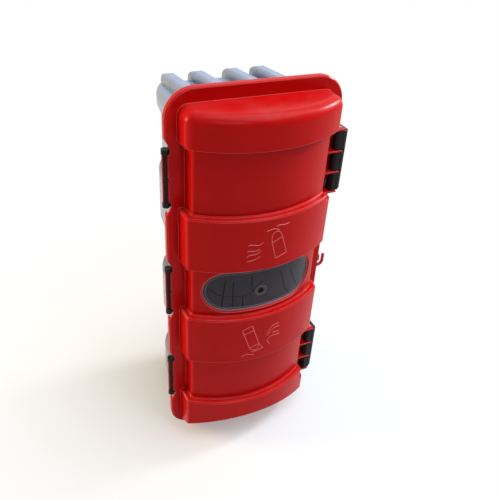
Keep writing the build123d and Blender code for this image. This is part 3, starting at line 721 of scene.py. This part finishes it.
@dataclass
class Window:
    """Lines on the smoked pane: its rim beads, whose pale colour is painted highlight, and rings and dark
    lines that stand in for the boss and ribs behind it, as painted light and painted shade.

    Outlines and rings are in millimetres, and the lines' own radii in metres.
    """

    width: float = 205.0
    height: float = 83.0
    middle: float = 15.0
    bead_inset: float = 0.9
    bead_radius: float = 0.0013
    inner_inset: float = 5.0
    inner_radius: float = 0.0006
    inner_sunk: float = 0.0003
    boss_middle: Point = (-3.5, 9.5)
    boss_radius: float = 10.5
    boss_step: float = 0.8
    boss_line: float = 0.0008
    boss_sunk: float = 0.0004
    hole_radius: float = 3.6
    hole_step: float = 0.5
    hole_line: float = 0.0012
    rib_line: float = 0.0008
    dark_sunk: float = 0.0005
    end_steps: int = 22
    side_steps: int = 14
    ring_steps: int = 32

    def outline(self, inset: float) -> tuple[Point, ...]:
        """Points of a round-ended outline inside the opening.

        Args:
            inset: How far inside the opening it runs.

        Returns:
            Its points, once round.
        """
        radius = self.height / 2 - inset
        reach = (self.width - self.height) / 2
        points: list[Point] = []
        for side in (1, -1):
            for step in range(self.end_steps):
                angle = math.pi * step / self.end_steps - math.pi / 2
                points.append((side * (reach + radius * math.cos(angle)),
                               self.middle + side * radius * math.sin(angle)))
            for step in range(self.side_steps):
                along = 1 - 2 * step / self.side_steps
                points.append((side * reach * along, self.middle + side * radius))
        return tuple(points)

    def ring(self, radius: float) -> tuple[Point, ...]:
        """Points of a ring round the boss's middle.

        Args:
            radius: The ring's radius.

        Returns:
            Its points, once round.
        """
        across, up = self.boss_middle
        turns = [2 * math.pi * step / self.ring_steps for step in range(self.ring_steps)]
        return tuple((across + radius * math.cos(turn), up + radius * math.sin(turn)) for turn in turns)

    def build(self, rack: FinishRack) -> None:
        """Adds to the pane the beads, with their painted highlight, and the painted rings and dark lines
        that stand in for the boss and ribs behind it.

        Args:
            rack: The finishes.
        """
        boss = (self.ring(self.boss_radius), self.ring(self.boss_radius * self.boss_step))
        hole = (self.ring(self.hole_radius), self.ring(self.hole_radius * self.hole_step))
        pieces = (
            FaceLines("pane_highlight_bead", (self.outline(self.bead_inset),), PANE_FACE, Look.HIGHLIT_BEAD,
                      self.bead_radius, closed=True),
            FaceLines("pane_inner_highlight_bead", (self.outline(self.inner_inset),), PANE_FACE, Look.HIGHLIT_BEAD,
                      self.inner_radius, self.inner_sunk, closed=True),
            FaceLines("pane_painted_boss", boss, PANE_FACE, Look.PAINTED_BOSS, self.boss_line, self.boss_sunk,
                      closed=True),
            FaceLines("pane_painted_boss_hole", hole, PANE_FACE, Look.SHADE_LINE, self.hole_line, self.dark_sunk,
                      closed=True),
            FaceLines("pane_painted_rib_shade", RIB_SHADE_LINES, PANE_FACE, Look.SHADE_LINE, self.rib_line, self.dark_sunk),
        )
        for piece in pieces:
            piece.build(rack)


@dataclass
class Cabinet:
    """The grey tub with what is fixed to it."""

    tub_nodes: tuple[str, ...] = ("tub_shell", "latch_keeper_upper", "latch_keeper_lower")
    bracket_nodes: tuple[str, ...] = ("hinge_bracket_upper", "hinge_bracket_middle", "hinge_bracket_lower")
    seal_nodes: tuple[str, ...] = ("rim_seal",)

    def dress(self, rack: FinishRack) -> None:
        """Puts the finishes on the tub, brackets and seal.

        Args:
            rack: The finishes.
        """
        rack.dress_nodes(Look.GREY, *self.tub_nodes)
        rack.dress_nodes(Look.BLACK, *self.bracket_nodes)
        rack.dress_nodes(Look.SEAL, *self.seal_nodes)


@dataclass
class Door:
    """The red door with its window, latches and signs."""

    lever_nodes: tuple[str, ...] = ("latch_lever_upper", "latch_lever_lower")
    pin_nodes: tuple[str, ...] = ("latch_pin_upper", "latch_pin_lower")
    window: Window = field(default_factory=Window)
    signs: tuple[FaceLines, ...] = (
        FaceLines("sign_upper", FLAMES_AND_CYLINDER),
        FaceLines("sign_lower", CYLINDER_AND_FLAMES),
    )

    def dress(self, rack: FinishRack) -> None:
        """Puts the finishes on the door, pane, levers and pins.

        Args:
            rack: The finishes.
        """
        rack.dress_nodes(Look.RED, "door_shell", "seal_hook")
        rack.dress_nodes(Look.PANE, "window_pane")
        rack.dress_nodes(Look.BLACK, *self.lever_nodes)
        rack.dress_nodes(Look.STEEL, *self.pin_nodes)

    def build(self, rack: FinishRack) -> None:
        """Adds the signs and the window's detail to the door.

        Args:
            rack: The finishes.
        """
        for sign in self.signs:
            sign.build(rack)
        self.window.build(rack)


@dataclass(frozen=True)
class SoftLamp:
    """A square lamp aimed at a point of the object, with its size in metres and power in watts."""

    name: str
    place: Triple
    size: float
    power: float
    colour: Colour
    aim: Triple = (0.0, -0.1, 0.0)

    def build(self) -> None:
        """Adds the lamp to the scene."""
        data = bpy.data.lights.new(self.name, "AREA")
        data.size = self.size
        data.energy = self.power
        data.color = self.colour
        lamp = bpy.data.objects.new(self.name, data)
        lamp.location = self.place
        lamp.rotation_euler = (Vector(self.aim) - Vector(self.place)).to_track_quat("-Z", "Y").to_euler()
        bpy.context.scene.collection.objects.link(lamp)


@dataclass
class Studio:
    """Pale floor, soft lamps, white world and the camera."""

    floor_size: float = 30.0
    floor_colour: Colour = (0.70, 0.72, 0.70)
    floor_white: float = 0.05
    shadow_reach: Point = (0.26, 0.75)
    world_level: float = 0.07
    world_colour: Colour = (0.86, 0.93, 1.0)
    lens: float = 41.198
    sensor: float = 36.0
    far_clip: float = 100.0
    shift: Point = (-0.016, -0.01274)
    camera_place: Triple = (-0.3779, -0.9313, 0.6341)
    camera_turn: tuple[Triple, Triple, Triple] = (
        (0.900664, 0.194075, -0.388767),
        (-0.429499, 0.533211, -0.728846),
        (0.065844, 0.82342, 0.563598),
    )
    lamps: tuple[SoftLamp, ...] = (
        SoftLamp("lamp_key", (-0.52, -2.0, 1.5), 0.8, 8.0, (1.0, 0.98, 0.96)),
        SoftLamp("lamp_right", (1.95, -0.45, 1.0), 0.9, 6.0, (1.0, 0.93, 0.96)),
        SoftLamp("lamp_glint", (1.98, -0.18, 1.21), 0.36, 36.0, (1.0, 0.90, 0.98)),
        SoftLamp("lamp_left", (-1.9, 0.8, 0.6), 0.8, 54.0, (1.0, 0.68, 0.38)),
        SoftLamp("lamp_top", (0.6, -0.6, 2.2), 2.2, 76.0, (0.78, 0.88, 1.0)),
    )

    def build(self) -> None:
        """Adds the floor, lamps, world and camera."""
        self.add_floor()
        for lamp in self.lamps:
            lamp.build()
        self.add_world()
        self.add_camera()
        bpy.context.scene.view_settings.view_transform = "Standard"

    def seen_rays(self, tree: bpy.types.NodeTree) -> bpy.types.NodeSocket:
        """Adds a mask of the rays that show a background.

        Args:
            tree: The node tree of the floor or the world.

        Returns:
            The mask: 1 for camera, glossy and transmission rays.
        """
        path = tree.nodes.new("ShaderNodeLightPath")
        joined = path.outputs["Is Camera Ray"]
        for name in ("Is Glossy Ray", "Is Transmission Ray"):
            either = tree.nodes.new("ShaderNodeMath")
            either.operation = "MAXIMUM"
            tree.links.new(joined, either.inputs[0])
            tree.links.new(path.outputs[name], either.inputs[1])
            joined = either.outputs[0]
        return joined

    def add_floor(self) -> None:
        """Adds the floor under the cabinet's feet, white away from its shadow."""
        deselect_all()
        low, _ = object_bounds()
        bpy.ops.mesh.primitive_plane_add(size=self.floor_size, location=(0.0, 0.0, low[2]))
        floor = bpy.context.object
        floor.name = "studio_floor"
        settle(floor)
        material = bpy.data.materials.new("pale_floor")
        material.use_nodes = True
        tree = material.node_tree
        tree.nodes.clear()
        matt = tree.nodes.new("ShaderNodeBsdfDiffuse")
        matt.inputs["Color"].default_value = rgba(self.floor_colour)
        white = tree.nodes.new("ShaderNodeEmission")
        place = tree.nodes.new("ShaderNodeTexCoord")
        away = tree.nodes.new("ShaderNodeVectorMath")
        away.operation = "LENGTH"
        far = tree.nodes.new("ShaderNodeMapRange")
        far.interpolation_type = "SMOOTHSTEP"
        far.inputs["From Min"].default_value, far.inputs["From Max"].default_value = self.shadow_reach
        far.inputs["To Min"].default_value = self.floor_white
        tree.links.new(place.outputs["Object"], away.inputs[0])
        tree.links.new(away.outputs["Value"], far.inputs["Value"])
        share = tree.nodes.new("ShaderNodeMath")
        share.operation = "MULTIPLY"
        tree.links.new(far.outputs["Result"], share.inputs[1])
        mix = tree.nodes.new("ShaderNodeMixShader")
        out = tree.nodes.new("ShaderNodeOutputMaterial")
        tree.links.new(self.seen_rays(tree), share.inputs[0])
        tree.links.new(share.outputs[0], mix.inputs["Fac"])
        tree.links.new(matt.outputs[0], mix.inputs[1])
        tree.links.new(white.outputs[0], mix.inputs[2])
        tree.links.new(mix.outputs[0], out.inputs["Surface"])
        floor.data.materials.append(material)
        floor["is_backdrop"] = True

    def add_world(self) -> None:
        """Adds a world that lights softly and looks white."""
        world = bpy.data.worlds.new("studio_world")
        bpy.context.scene.world = world
        world.use_nodes = True
        tree = world.node_tree
        tree.nodes.clear()
        soft = tree.nodes.new("ShaderNodeBackground")
        soft.inputs["Color"].default_value = rgba(self.world_colour)
        soft.inputs["Strength"].default_value = self.world_level
        white = tree.nodes.new("ShaderNodeBackground")
        white.inputs["Color"].default_value = rgba(WHITE)
        mix = tree.nodes.new("ShaderNodeMixShader")
        out = tree.nodes.new("ShaderNodeOutputWorld")
        tree.links.new(self.seen_rays(tree), mix.inputs["Fac"])
        tree.links.new(soft.outputs[0], mix.inputs[1])
        tree.links.new(white.outputs[0], mix.inputs[2])
        tree.links.new(mix.outputs[0], out.inputs["Surface"])

    def add_camera(self) -> None:
        """Adds the camera at the photograph's viewing angle."""
        data = bpy.data.cameras.new("camera")
        data.lens = self.lens
        data.sensor_width = self.sensor
        data.shift_x, data.shift_y = self.shift
        data.clip_end = self.far_clip
        camera = bpy.data.objects.new("camera", data)
        turn = Matrix(self.camera_turn).to_4x4()
        camera.matrix_world = Matrix.Translation(self.camera_place) @ turn
        bpy.context.scene.collection.objects.link(camera)
        bpy.context.scene.camera = camera


def main() -> None:
    """Dresses the frame, adds the new pieces and sets up the studio."""
    logging.basicConfig(level=logging.INFO, format="%(message)s")
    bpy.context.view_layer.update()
    rack = FinishRack()
    Studio().build()
    Cabinet().dress(rack)
    door = Door()
    door.dress(rack)
    door.build(rack)


if __name__ == "__main__":
    main()
